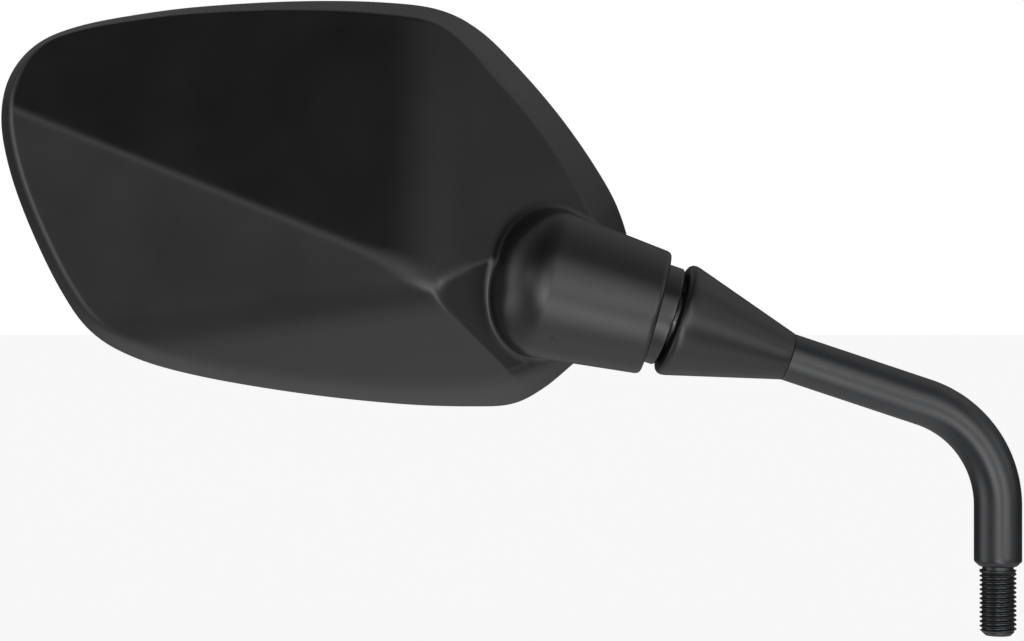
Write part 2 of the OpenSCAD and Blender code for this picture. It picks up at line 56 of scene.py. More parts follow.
# Stem rod
ROD_R = 6.5
THREAD_R = MOUNT["dims"]["r_mm"]
THREAD_L = 19.0
THREAD_PITCH = 1.25
THREAD_DEPTH = 0.72
THREAD_CHAMFER = 1.5
UNDERCUT_R = 4.25
UNDERCUT_L = 1.1
SHOULDER_CHAMFER = 1.3
SHOULDER_EDGE = (0.1, 0.25)    # the shoulder's corners are broken by these: across and along the rod
ROD_EDGE = 0.15                # small edges on the rod are broken by this
ROD_END_EDGE = 0.12
STEP_L = 0.01                  # the length that a square step takes
THREAD_CREST = 0.125           # shares of the pitch, for a 60-degree thread
THREAD_FLANK = 0.625
CORNER_Z = 38.2
BEND_R = 30.0
INCLINE = radians(18.3)
STEM_YAW = atan2(-BALL[1], -BALL[0])
SPIGOT_R = 4.5
STUD_R = 4.0

# Stem end: stations along the stem's axis from the ball
MOUTH_S = 6.3
COLLAR_S = (7.2, 10.0)
COLLAR_SKIRT_S = 4.4
COLLAR_R = 13.65
COLLAR_WALL = 1.25
COLLAR_ROUND = (0.35, 0.6)     # at the skirt's edge and at the side of the cone
CONE_S = (10.9, 44.5)
CONE_R = 15.6
CONE_WIDEST = 2.2              # without its rounding, the cone would reach CONE_R this far from its large end
CONE_WALL = 2.2
CONE_ROUND = 3.3
CONE_EDGE_ROUND = (0.35, 0.3)  # outside at the rod and inside at the mouth
CONE_LIP = 1.0                 # the lip in the cone's mouth, inwards and along
CONE_FOOT_PLAY = 0.05
BORE_PLAY = 0.1
NUT_S1 = 30.5
SPIGOT_S0 = 22.0

# Neck
NECK_SLOPE = atan2(-TWIST_AXIS[2], TWIST_AXIS[0])
NECK_LEAN = radians(0.7)
NECK_DROP = 0.6
NECK_R = 17.05
NECK_TAPER = radians(6.3)
NECK_CONE_L = 30.0
DOME_L = 17.0
NECK_ROUND = (1.2, 1.9)        # across the mouth's edge and along the neck
NECK_WALL = 1.8
STEP_S = -16.0
LIP_R = 15.3
LIP_CHAMFER = 0.2
LIP_START = 0.02               # the lip starts this far behind the mouth
NECK_BORE = [                  # radius and station
    (14.87, 2.0), (14.8, 1.3), (11.1, 1.3), (11.1, -0.3), (12.1, -0.3), (12.1, -10.0), (12.1, STEP_S)]
TUBE_R = 14.1

# Shell
AXIS_DEPTH = 24.0
PEAK_DEPTH = 42.0
WALL = 2.4
WALL_Y = 1.12 * WALL           # the wall of a sloping facet, measured along the depth
POCKET_DEPTH = 6.0
POCKET_CHAMFER = 0.25
RIM_EDGE = 0.3
RIM_POINTS = [
    (-177.3, 53.2), (-174.8, 65), (-167.2, 74), (-154.8, 79.2), (-135, 82.9), (-116.7, 84.9),
    (-92.7, 86.1), (-70.2, 85.8), (-53.7, 83.7), (-42, 77.7), (-30.5, 66.5), (-19.2, 53.2), (-9.3, 39),
    (-2.9, 27.1), (0.4, 14.4), (-0.6, 1.6), (-7.4, -8.9), (-16.2, -16.8), (-24.3, -23.4), (-32.7, -27.6),
    (-43.5, -28.4), (-64.5, -27.7), (-92.7, -24.7), (-121, -19.9), (-139.6, -14.6), (-152, -7.2),
    (-160.8, 5), (-169.4, 22.9), (-175.1, 39.1)]
PEAK = np.array([-53.8, 7.4])
# Falls of the facets from the peak, along x and z
UPPER_OUTER = (0.11, -0.342)
UPPER_INNER = (-0.449, -0.358)
LOWER_OUTER = (0.3025, 0.135)
FOOT = (0.185, 1.0)
RECESS = (-0.624, 0.204)
FOOT_LIFT = 4.3                # the foot's facet passes this far over the peak
# Roundings between the facets, and at the side wall
FOLD_BLEND = 6.7
ROLL_BLEND = 5.0
RIDGE_BLEND = [(-165, 0.5), (-72, 0.9), (-55, 3.0)]    # along x: it widens into the highlight at the peak
RECESS_BLEND = 0.5
RIM_BLEND = (1.5, 8.0)         # above and below
SIDE_RISE = 3.1                # depth gained for each millimetre in from the rim
STEM_SIDE_LEAN = 1.2           # taken off that on the stem's side, where the wall leans more
STEM_SIDE = np.array([0.82, 0.57])
STEM_SIDE_POWER = 4
LOWER_SIDE = np.array([-0.45, -0.89])
LOWER_SIDE_SPAN = 0.6
ROOT_BLEND = (2.4, 3.6)        # the neck's root is tighter below than above
ROOT_BLEND_SPAN = 20.0
ROOT_FADE_DEPTH = 8.0          # nearer the rim's plane than this, the fillet fades
ROOT_FADE_LEAST = 0.03

# Glass
GLASS_GAP = 0.5
GLASS_T = 2.0
GLASS_R = 1400.0
GLASS_SET = 0.6
GLASS_EDGE = 0.35
CROWN = np.array([-87.5, 28.0])

# Gate mark on the neck's lower side, by the photograph's pixel
GATE_PX = (552.3, 339.2)
GATE_NUB_R = 0.45
GATE_NUB_H = 0.35
GATE_DIMPLE_R = 1.9
GATE_DIMPLE_DEPTH = 0.2
GATE_FOOT = 0.25               # the nub's foot is sunk by this
GATE_RAY = (520, 640, 12001)   # the ray is tried from and to these distances, at this many places

# Camera, by the photograph's frame
IMAGE_W = 1024
IMAGE_H = 641
FOCAL_PX = 2184.0
SENSOR_MM = 36.0
CAMERA_AT = (-133.5, -600.0, 67.4)

# Studio, in metres
FLOOR_Z = -0.13
FLOOR_RADIUS = 30
FLOOR_TONE = 0.5
FLOOR_GLOW = 0.75
SURROUND_RADIUS = 40
STUDIO_SIDES = 48
STUDIO_TIERS = 12

# What the finishes share
CLOUD_SCALE = 60
CLOUD_SPAN = (0.3, 0.7)        # the noise between these carries the roughness from its least to its most
BUMP_STRENGTH = 0.6

# Fineness of the meshes
SHARP_ANGLE = radians(36)
SHELL_LINES = 420
SKIN_ROWS = 108
NECK_ROWS = 50
HOLLOW_ROWS = 24
STEM_LINES = 160
ROD_LINES = 96
GLASS_LINES = 360

# Studio light: azimuth from the camera's side, elevation, sharpness and strength of each soft lobe
LOBES = [
    (9, -52, 40, 1.43), (45, -52, 40, 0.13), (-45, -36, 40, 0.33), (9, -36, 40, 2.64), (-63, -20, 40, 0.41),
    (-9, -20, 40, 4.08), (-63, -4, 40, 0.36), (-27, -4, 40, 0.91), (-9, -4, 40, 1.45), (9, -4, 40, 1.10),
    (27, -4, 40, 2.71), (45, -4, 40, 1.30), (-45, 12, 40, 1.33), (-9, 12, 40, 1.46), (27, 12, 40, 1.76),
    (9, 28, 40, 0.69), (27, 28, 40, 0.79), (-85, -40, 20, 0.27), (70, -40, 20, 0.96), (-85, -12, 20, 1.73),
    (-85, 16, 20, 1.50), (70, 16, 20, 1.26), (100, 16, 20, 0.09), (-85, 46, 20, 0.18), (100, 46, 20, 0.54),
    (140, -40, 10, 0.25), (180, -40, 10, 0.19), (220, -40, 10, 0.28), (140, 40, 10, 0.29), (180, 40, 10, 0.04),
    (220, 40, 10, 0.30), (0, -85, 6, 1.01), (50, 55, 14, 0.26), (120, 66, 12, 0.11), (240, 66, 12, 0.20)]


def smooth_min(a, b, k):
    """The lesser of a and b, rounded off by k / 4 where they are within k of each other."""
    h = np.maximum(k - np.abs(a - b), 0) / k
    return np.minimum(a, b) - h * h * k / 4


def closed_curve(points, steps):
    """Catmull-Rom curve through the points: the cubic of each span, taken at steps places."""
    p1 = np.asarray(points, float)[:, None, :]
    p0, p2, p3 = np.roll(p1, 1, 0), np.roll(p1, -1, 0), np.roll(p1, -2, 0)
    t = (np.arange(steps) / steps)[None, :, None]
    curve = 2 * p1 + (p2 - p0) * t + (2 * p0 - 5 * p1 + 4 * p2 - p3) * t ** 2 + (3 * p1 - p0 - 3 * p2 + p3) * t ** 3
    return curve.reshape(-1, 2) / 2


def normals_of(outline):
    """Unit normals of a closed outline, across the chord between each point's neighbours."""
    along = np.roll(outline, -1, 0) - np.roll(outline, 1, 0)
    across = np.stack([-along[:, 1], along[:, 0]], 1)
    return across / np.linalg.norm(across, axis=1, keepdims=True)


class Polar:
    """Values on a closed outline, read by the angle about a centre inside it."""

    def __init__(self, outline, centre):
        across, up = (outline - centre).T
        angle = np.arctan2(up, across)
        self.reach = np.hypot(across, up)
        self.order = np.argsort(angle)
        self.angle = angle[self.order]

    def at(self, angle, values):
        """The outline's values where the ray at this angle crosses it."""
        return np.interp(angle, self.angle, values[self.order], period=2 * pi)


RIM = closed_curve(RIM_POINTS, 24)
RIM_NORMAL = normals_of(RIM)
RIM_POLAR = Polar(RIM, PEAK)
RIM_COS = np.sum((RIM - PEAK) * RIM_NORMAL, 1) / RIM_POLAR.reach
RIM_RISE = SIDE_RISE - STEM_SIDE_LEAN * np.maximum(0, RIM_NORMAL @ STEM_SIDE) ** STEM_SIDE_POWER
RIM_LOWER = np.clip(1 + RIM_NORMAL @ LOWER_SIDE / LOWER_SIDE_SPAN, 0, 1)
RIM_SOFT = RIM_BLEND[0] + (RIM_BLEND[1] - RIM_BLEND[0]) * RIM_LOWER


def facet(x, z, fall):
    """Depth of one facet: the peak's depth plus its fall times the way from the peak."""
    return PEAK_DEPTH + (x - PEAK[0]) * fall[0] + (z - PEAK[1]) * fall[1]


def facets(x, z):
    """Depth of the five facets together: their least, with each edge rounded by its own blend."""
    upper = smooth_min(facet(x, z, UPPER_OUTER), facet(x, z, UPPER_INNER), FOLD_BLEND)
    lower = smooth_min(facet(x, z, LOWER_OUTER), facet(x, z, FOOT) + FOOT_LIFT, ROLL_BLEND)
    ridge = np.interp(x, *zip(*RIDGE_BLEND))
    return smooth_min(smooth_min(upper, lower, ridge), facet(x, z, RECESS), RECESS_BLEND)


def rim_terms(x, z):
    """Distance in from the rim, and the side wall's rise and softness, read along the ray from the peak."""
    angle = np.arctan2(z - PEAK[1], x - PEAK[0])
    reach = np.hypot(x - PEAK[0], z - PEAK[1])
    inset = RIM_POLAR.at(angle, RIM_COS) * (RIM_POLAR.at(angle, RIM_POLAR.reach) - reach)
    return inset, RIM_POLAR.at(angle, RIM_RISE), RIM_POLAR.at(angle, RIM_SOFT)


def skin_depth(x, z):
    """Depth of the shell's outer face without its neck: the facets, cut down by the side wall's slope."""
    inset, rise, soft = rim_terms(x, z)
    return smooth_min(facets(x, z), rise * inset, soft)


LEAN = NECK_SLOPE + NECK_LEAN
MOUTH = np.array([MOUTH_S * cos(NECK_SLOPE) - NECK_DROP * sin(NECK_SLOPE),
                  -MOUTH_S * sin(NECK_SLOPE) - NECK_DROP * cos(NECK_SLOPE)])


def neck_cone(s):
    """The radius of the neck's cone at s along its axis, which keeps its last value past the cone's end."""
    return NECK_R - np.maximum(s, -NECK_CONE_L) * tan(NECK_TAPER)


def neck_radius(s):
    """The neck's radius at s along its axis: a cone, then an ellipse that closes its end."""
    past = np.clip((-s - NECK_CONE_L) / DOME_L, 0, 1)
    return neck_cone(s) * np.sqrt(1 - past ** 2)


def neck_point(s, r, phi):
    """A point round the neck's leaning axis, which starts at the mouth, as x, d and z."""
    up, front = r * np.sin(phi), r * np.cos(phi)
    return np.stack([MOUTH[0] + s * cos(LEAN) + up * sin(LEAN), AXIS_DEPTH + front,
                     MOUTH[1] - s * sin(LEAN) + up * cos(LEAN)], -1)


def bore_point(s, r, phi):
    """A point round the joint's own axis, which starts at the ball, as x, d and z."""
    up, front = r * np.sin(phi), r * np.cos(phi)
    return np.stack([s * cos(NECK_SLOPE) + up * sin(NECK_SLOPE), AXIS_DEPTH + front,
                     -s * sin(NECK_SLOPE) + up * cos(NECK_SLOPE)], -1)


def neck_axis_coords(x, z):
    """The way along the neck's leaning axis from its mouth, and up across it."""
    return ((x - MOUTH[0]) * cos(LEAN) - (z - MOUTH[1]) * sin(LEAN),
            (x - MOUTH[0]) * sin(LEAN) + (z - MOUTH[1]) * cos(LEAN))


def neck_gap(p):
    """How far a point is outside the neck: its radius less the cone's, or past the cone the ellipsoid's excess."""
    s, up = neck_axis_coords(p[..., 0], p[..., 2])
    cone = neck_cone(s)
    past = np.maximum(-s - NECK_CONE_L, 0) / DOME_L
    return (np.sqrt((up ** 2 + (p[..., 1] - AXIS_DEPTH) ** 2) / cone ** 2 + past ** 2) - 1) * cone


def skin_gap(p):
    """How far a point is outside the skin: its height over it, divided by the length of (1, slope)."""
    h = 0.05
    x, d, z = p[..., 0], p[..., 1], p[..., 2]
    slope_x = (skin_depth(x + h, z) - skin_depth(x - h, z)) / (2 * h)
    slope_z = (skin_depth(x, z + h) - skin_depth(x, z - h)) / (2 * h)
    return (d - skin_depth(x, z)) / np.sqrt(1 + slope_x ** 2 + slope_z ** 2)


def root_blend(p):
    """Width of the fillet at the neck's root: soft above the neck, tight below it, and none at the rim's plane."""
    up = neck_axis_coords(p[..., 0], p[..., 2])[1]
    soft = ROOT_BLEND[0] + (ROOT_BLEND[1] - ROOT_BLEND[0]) * np.clip(0.5 + up / ROOT_BLEND_SPAN, 0, 1)
    return soft * np.clip(p[..., 1] / ROOT_FADE_DEPTH, ROOT_FADE_LEAST, 1)


def form(p):
    """Below zero inside the shell and its neck together: the lesser gap, filleted."""
    return smooth_min(skin_gap(p), neck_gap(p), root_blend(p))


def onto_form(points, steps=5):
    """Moves points that lie in the fillet onto it: Newton's steps along the slope of form."""
    flat = points.reshape(-1, 3)
    near = np.abs(skin_gap(flat) - neck_gap(flat)) < root_blend(flat)
    p = flat[near]
    h, least_slope = 0.02, 0.2
    for _ in range(steps):
        slope = np.stack([(form(p + h * axis) - form(p - h * axis)) / (2 * h) for axis in np.eye(3)], -1)
        p = p - slope * (form(p) / np.maximum(np.sum(slope ** 2, -1), least_slope))[:, None]
    flat[near] = p
    return flat.reshape(points.shape)


def gate_place():
    """The gate mark's middle and the outward direction there: where the ray of its pixel first meets the form."""
    ray = np.array([(GATE_PX[0] - IMAGE_W / 2) / FOCAL_PX, -1.0, (IMAGE_H / 2 - GATE_PX[1]) / FOCAL_PX])
    eye = np.array([CAMERA_AT[0] - BALL[0], AXIS_DEPTH + BALL[1] - CAMERA_AT[1], CAMERA_AT[2] - BALL[2]])
    way = eye + np.linspace(*GATE_RAY)[:, None] * ray
    middle = way[np.argmax(form(way) < 0)]
    h = 0.05
    out = np.array([form(middle + h * axis) - form(middle - h * axis) for axis in np.eye(3)])
    return middle, out / np.linalg.norm(out)


def dimpled(points):
    """Points near the gate mark pushed in by its bowl: depth times (1 - (distance / radius) ^ 2) ^ 2."""
    middle, out = gate_place()
    near = np.maximum(1 - np.sum((points - middle) ** 2, -1) / GATE_DIMPLE_R ** 2, 0)
    return points - GATE_DIMPLE_DEPTH * near[..., None] ** 2 * out


def gate_nub():
    """The nub left in the gate's bowl: half an ellipsoid over a short foot that is sunk in the wall."""
    middle, out = gate_place()
    side = np.cross(out, [0, 0, 1])
    side /= np.linalg.norm(side)
    up = np.cross(side, out)
    turn = np.linspace(0, pi / 2, 10)[:-1, None]
    phi = np.linspace(0, 2 * pi, 32, endpoint=False)
    height = np.concatenate([[[-GATE_FOOT]], GATE_NUB_H * np.sin(turn)]) - GATE_DIMPLE_DEPTH
    r = np.concatenate([[[GATE_NUB_R]], GATE_NUB_R * np.cos(turn)])
    rings = middle + height[..., None] * out + (r * np.cos(phi))[..., None] * side + (r * np.sin(phi))[..., None] * up
    grid_solid("mirror_shell_gate_nub", row_frame(rings), "head", "black_plastic")


def row_frame(p):
    """Points on the head as x, d and z, turned into the row's own frame."""
    return np.stack([BALL[0] + p[..., 0], BALL[1] + AXIS_DEPTH - p[..., 1], BALL[2] + p[..., 2]], -1)


def grid_solid(name, rings, body, slot, node=None, loop=False):
    """A closed mesh from rings of points: each ring joins the next, and the last joins the first or both ends
    close in a point. The faces are turned round if the volume that they enclose comes out below zero."""
    m, n = rings.shape[:2]
    points = rings.reshape(-1, 3)
    rows = np.arange(m if loop else m - 1)[:, None] * n
    cols = np.arange(n)[None, :]
    nxt = (cols + 1) % n
    up = (rows + n) % (m * n)
    quads = np.stack([rows + cols, rows + nxt, up + nxt, up + cols], -1).reshape(-1, 4)
    faces = quads.tolist()
    if not loop:
        points = np.concatenate([points, rings[:1].mean(1), rings[-1:].mean(1)])
        first, last, top = m * n, m * n + 1, (m - 1) * n
        faces += np.stack([nxt[0], cols[0], np.full(n, first)], -1).tolist()
        faces += np.stack([cols[0] + top, nxt[0] + top, np.full(n, last)], -1).tolist()
    a, b, c, d = np.moveaxis(points[quads], 1, 0)
    volume = np.sum(a * np.cross(b, c) + a * np.cross(c, d))
    if not loop:
        tips = np.array(faces[len(quads):])
        volume += np.sum(points[tips[:, 0]] * np.cross(points[tips[:, 1]], points[tips[:, 2]]))
    if volume < 0:
        faces = [face[::-1] for face in faces]
    mesh = bpy.data.meshes.new(name)
    mesh.from_pydata((points * MM).tolist(), [], faces)
    mesh.polygons.foreach_set("use_smooth", np.ones(len(mesh.polygons), bool))
    mesh.set_sharp_from_angle(angle=SHARP_ANGLE)
    mesh.materials.append(MATERIALS[slot])
    piece = bpy.data.objects.new(name, mesh)
    bpy.context.scene.collection.objects.link(piece)
    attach(piece, body)
    if node:
        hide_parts(node)


def rounded(profile, radii, steps=5):
    """A closed profile whose corners are arcs: each corner is cut back by its radius along both sides and bridged."""
    points = np.asarray(profile, float)
    out = []
    for i, radius in enumerate(radii):
        here, before, after = points[i], points[i - 1], points[(i + 1) % len(points)]
        if radius == 0:
            out.append(here[None])
            continue
        to_a, to_b = before - here, after - here
        a = here + to_a / np.linalg.norm(to_a) * radius
        b = here + to_b / np.linalg.norm(to_b) * radius
        t = np.linspace(0, 1, steps + 1)[:, None]
        out.append((1 - t) ** 2 * a + 2 * t * (1 - t) * here + t ** 2 * b)
    return np.concatenate(out)


def spaced(profile, longest):
    """A closed profile with extra points, so that no side is longer than this."""
    out = []
    for a, b in zip(profile, np.roll(profile, -1, 0)):
        count = max(1, int(np.ceil(np.linalg.norm(b - a) / longest)))
        out.append(a + (b - a) * (np.arange(count) / count)[:, None])
    return np.concatenate(out)


STEM_ALONG = np.array([cos(INCLINE) * cos(STEM_YAW), cos(INCLINE) * sin(STEM_YAW), -sin(INCLINE)])
STEM_SIDEWAYS = np.array([sin(STEM_YAW), -cos(STEM_YAW), 0.0])
STEM_UP = np.cross(STEM_SIDEWAYS, STEM_ALONG)


def turned_on_stem(name, profile, slot, node):
    """A closed profile of radius and station, turned round the stem's axis."""
    phi = np.linspace(0, 2 * pi, STEM_LINES, endpoint=False)
    r, s = profile[:, :1], profile[:, 1:]
    up, side = r * np.sin(phi), r * np.cos(phi)
    rings = BALL + s[..., None] * STEM_ALONG + up[..., None] * STEM_UP + side[..., None] * STEM_SIDEWAYS
    grid_solid(name, rings, "stem", slot, node, loop=True)


def cone_cover():
    """The cone: its wall's section turned round the stem, rounded at the large end."""
    slope = (CONE_R - ROD_R) / (CONE_S[1] - CONE_S[0] - CONE_WIDEST)
    large = ROD_R + (CONE_S[1] - CONE_S[0]) * slope
    floor_r = ROD_R + (CONE_S[1] - NUT_S1) * slope - CONE_WALL
    mouth_r = CONE_R - CONE_WALL - CONE_LIP
    bore_r = SPIGOT_R + BORE_PLAY
    profile = rounded(
        [(bore_r, CONE_S[1]), (ROD_R + CONE_FOOT_PLAY, CONE_S[1]), (large, CONE_S[0]), (mouth_r, CONE_S[0]),
         (mouth_r, CONE_S[0] + CONE_LIP), (floor_r, NUT_S1 + BORE_PLAY), (bore_r, NUT_S1 + BORE_PLAY)],
        [0, CONE_EDGE_ROUND[0], CONE_ROUND, CONE_EDGE_ROUND[1], 0, 0, 0])
    turned_on_stem("cone_cover_moulded", spaced(profile, 2), "black_plastic", "cone_cover")


def joint_collar():
    """The collar: a base and a thin skirt in one section, turned round the stem."""
    bore_r, skirt_r = STUD_R + BORE_PLAY, COLLAR_R - COLLAR_WALL
    profile = rounded(
        [(bore_r, COLLAR_S[0]), (skirt_r, COLLAR_S[0]), (skirt_r, COLLAR_SKIRT_S),
         (COLLAR_R, COLLAR_SKIRT_S), (COLLAR_R, COLLAR_S[1]), (bore_r, COLLAR_S[1])],
        [0, 0, 0, *COLLAR_ROUND, 0])
    turned_on_stem("joint_collar_turned", spaced(profile, 1), "gloss_black", "joint_collar")


BEND_TURN = pi / 2 - INCLINE
BEND_REACH = BEND_R * tan(BEND_TURN / 2)
BEND_START = THREAD_L + CORNER_Z - BEND_REACH
BEND_END = BEND_START + BEND_R * BEND_TURN


def stem_path(length):
    """Centre and outward direction of the rod's centreline at a length from the thread's end:
    a straight foot, an arc, and a straight arm, in the stem's own upright plane."""
    angle = np.clip((length - BEND_START) / BEND_R, 0, BEND_TURN)
    along = np.stack([-np.sin(angle), np.cos(angle)], -1)
    outward = np.stack([np.cos(angle), np.sin(angle)], -1)
    straight = np.minimum(length - BEND_START, 0) + np.maximum(length - BEND_END, 0)
    centre = np.array([-BEND_R, BEND_START - THREAD_L]) + BEND_R * outward + straight[..., None] * along
    return centre, outward


def stem_rod():
    """The rod: a ring of changing radius carried along its centreline. On the foot, the radius is cut by a
    60-degree thread's groove, whose phase grows with the angle and with the length over the pitch."""
    thread_end = THREAD_L - UNDERCUT_L
    shoulder = THREAD_L + SHOULDER_CHAMFER
    arm_end = BEND_END + np.hypot(BALL[0], BALL[1]) / cos(INCLINE) - BEND_REACH - CONE_S[1]
    spigot_end = arm_end + CONE_S[1] - NUT_S1
    stud_end = arm_end + CONE_S[1] - SPIGOT_S0
    thread = [(0, THREAD_R - THREAD_CHAMFER), (THREAD_CHAMFER, THREAD_R), (thread_end, THREAD_R)]
    corners = [(thread_end + ROD_EDGE, UNDERCUT_R), (THREAD_L - 2 * STEP_L, UNDERCUT_R),
               (THREAD_L, ROD_R - SHOULDER_CHAMFER - SHOULDER_EDGE[0]),
               (THREAD_L + ROD_EDGE, ROD_R - SHOULDER_CHAMFER + SHOULDER_EDGE[0]),
               (shoulder - ROD_EDGE, ROD_R - ROD_EDGE), (shoulder + SHOULDER_EDGE[1], ROD_R)]
    spigot = [(arm_end - ROD_EDGE, ROD_R), (arm_end, ROD_R - ROD_END_EDGE), (arm_end + STEP_L, SPIGOT_R),
              (spigot_end, SPIGOT_R), (spigot_end + STEP_L, STUD_R), (stud_end, STUD_R)]
    lengths = np.concatenate([
        np.linspace(0, thread_end, 200), [s for s, _ in corners], np.linspace(shoulder + 1.5, BEND_START, 8),
        np.linspace(BEND_START, BEND_END, 48)[1:], np.linspace(BEND_END, arm_end - 0.5, 24)[1:],
        [s for s, _ in spigot]])
    radii = np.interp(lengths, *zip(*thread, *corners, *spigot))
    phi = np.linspace(0, 2 * pi, ROD_LINES, endpoint=False)
    phase = (lengths[:, None] / THREAD_PITCH + phi / (2 * pi)) % 1
    groove = np.clip((np.abs(phase - 0.5) * 2 - THREAD_CREST) / THREAD_FLANK, 0, 1)
    fade = np.clip((thread_end - lengths) / THREAD_PITCH, 0, 1)[:, None]
    r = np.minimum(radii[:, None], radii[:, None] * (1 - fade) + (THREAD_R - THREAD_DEPTH * groove) * fade)
    centre, outward = stem_path(lengths)
    out = outward[:, None, :] * (r * np.cos(phi))[..., None]
    upright = np.stack([centre[:, None, 0] + out[..., 0], -r * np.sin(phi), centre[:, None, 1] + out[..., 1]], -1)
    turn_z = np.array([[cos(STEM_YAW), sin(STEM_YAW), 0], [-sin(STEM_YAW), cos(STEM_YAW), 0], [0, 0, 1]])
    grid_solid("stem_rod_threaded", upright @ turn_z, "stem", "black_paint", "stem_rod")


def neck_run(tau):
    """Station and radius at a share of the way from the neck's mouth over its cone and dome."""
    cone_share = 0.6
    s_cone = -NECK_ROUND[1] + (NECK_ROUND[1] - NECK_CONE_L) * np.clip(tau / cone_share, 0, 1)
    angle = np.clip((tau - cone_share) / (1 - cone_share), 0, 1) * pi / 2
    s = np.where(tau <= cone_share, s_cone, -NECK_CONE_L - DOME_L * np.sin(angle))
    return s, np.where(tau <= cone_share, neck_cone(s), neck_cone(s) * np.cos(angle))


def root_curve():
    """Where the neck dives into the skin: for each angle round the neck, the first share of its run below the skin."""
    phi = np.linspace(0, 2 * pi, 1440, endpoint=False)
    tau = np.linspace(0, 1, 600)
    s, r = neck_run(tau)
    p = neck_point(s[None, :], r[None, :], phi[:, None])
    over = p[..., 1] - skin_depth(p[..., 0], p[..., 2])
    i = np.maximum(np.argmax(over < 0, 1), 1)
    k = np.arange(len(phi))
    share = over[k, i - 1] / (over[k, i - 1] - over[k, i])
    return phi, tau[i - 1] + share * (tau[i] - tau[i - 1])


def section_lines(count):
    """The angle round the neck, the root and the rim point of each section line. Lines are spaced evenly by the
    mean of three shares: the rim's length, the root's length and the angle round the neck."""
    phi, tau = root_curve()
    s, r = neck_run(tau)
    root = neck_point(s, r, phi)[:, [0, 2]]
    centre = root.mean(0)
    psi = np.unwrap(pi - np.arctan2(root[:, 1] - centre[1], root[:, 0] - centre[0]))
    psi = np.maximum.accumulate(psi)
    rim_polar = Polar(RIM, centre)
    reach = rim_polar.at(pi - psi, rim_polar.reach)
    rim = centre + reach[:, None] * np.stack([-np.cos(psi), np.sin(psi)], -1)

    def share(points):
        """The share of a closed line's length at each of its points, and at its end."""
        steps = np.linalg.norm(np.roll(points, -1, 0) - points, axis=1)
        return np.concatenate([[0], np.cumsum(steps)]) / steps.sum()

    place = (share(rim) + share(root) + np.linspace(0, 1, len(phi) + 1)) / 3
    at = np.interp(np.arange(count) / count, place, np.arange(len(phi) + 1))
    closed = [np.concatenate([a, a[:1] + 2 * pi]) for a in (phi, psi)]
    phi_k, psi_k = (np.interp(at, np.arange(len(phi) + 1), a) for a in closed)
    tau_k = np.interp(phi_k, phi, tau, period=2 * pi)
    reach_k = rim_polar.at(pi - psi_k, rim_polar.reach)
    rim_k = centre + reach_k[:, None] * np.stack([-np.cos(psi_k), np.sin(psi_k)], -1)
    normal_k = np.stack([rim_polar.at(pi - psi_k, RIM_NORMAL[:, axis]) for axis in (0, 1)], -1)
    normal_k /= np.linalg.norm(normal_k, axis=1, keepdims=True)
    return phi_k, tau_k, rim_k, normal_k


def wall_corner(rim, root):
    """How far in along each section line the side wall meets the facets, at most four tenths of the line,
    and the line's length."""
    length = np.linalg.norm(root - rim, axis=1)
    most = 0.4 * length
    searched = np.minimum(length, 30)
    t = np.linspace(0, 1, 400)[:, None]
    x, z = (rim[:, axis] + (root - rim)[:, axis] * (searched / length) * t for axis in (0, 1))
    inset, rise, _ = rim_terms(x, z)
    past = rise * inset > facets(x, z)
    return np.where(past.any(0), np.minimum(searched * t[np.argmax(past, 0), 0], most), most), length


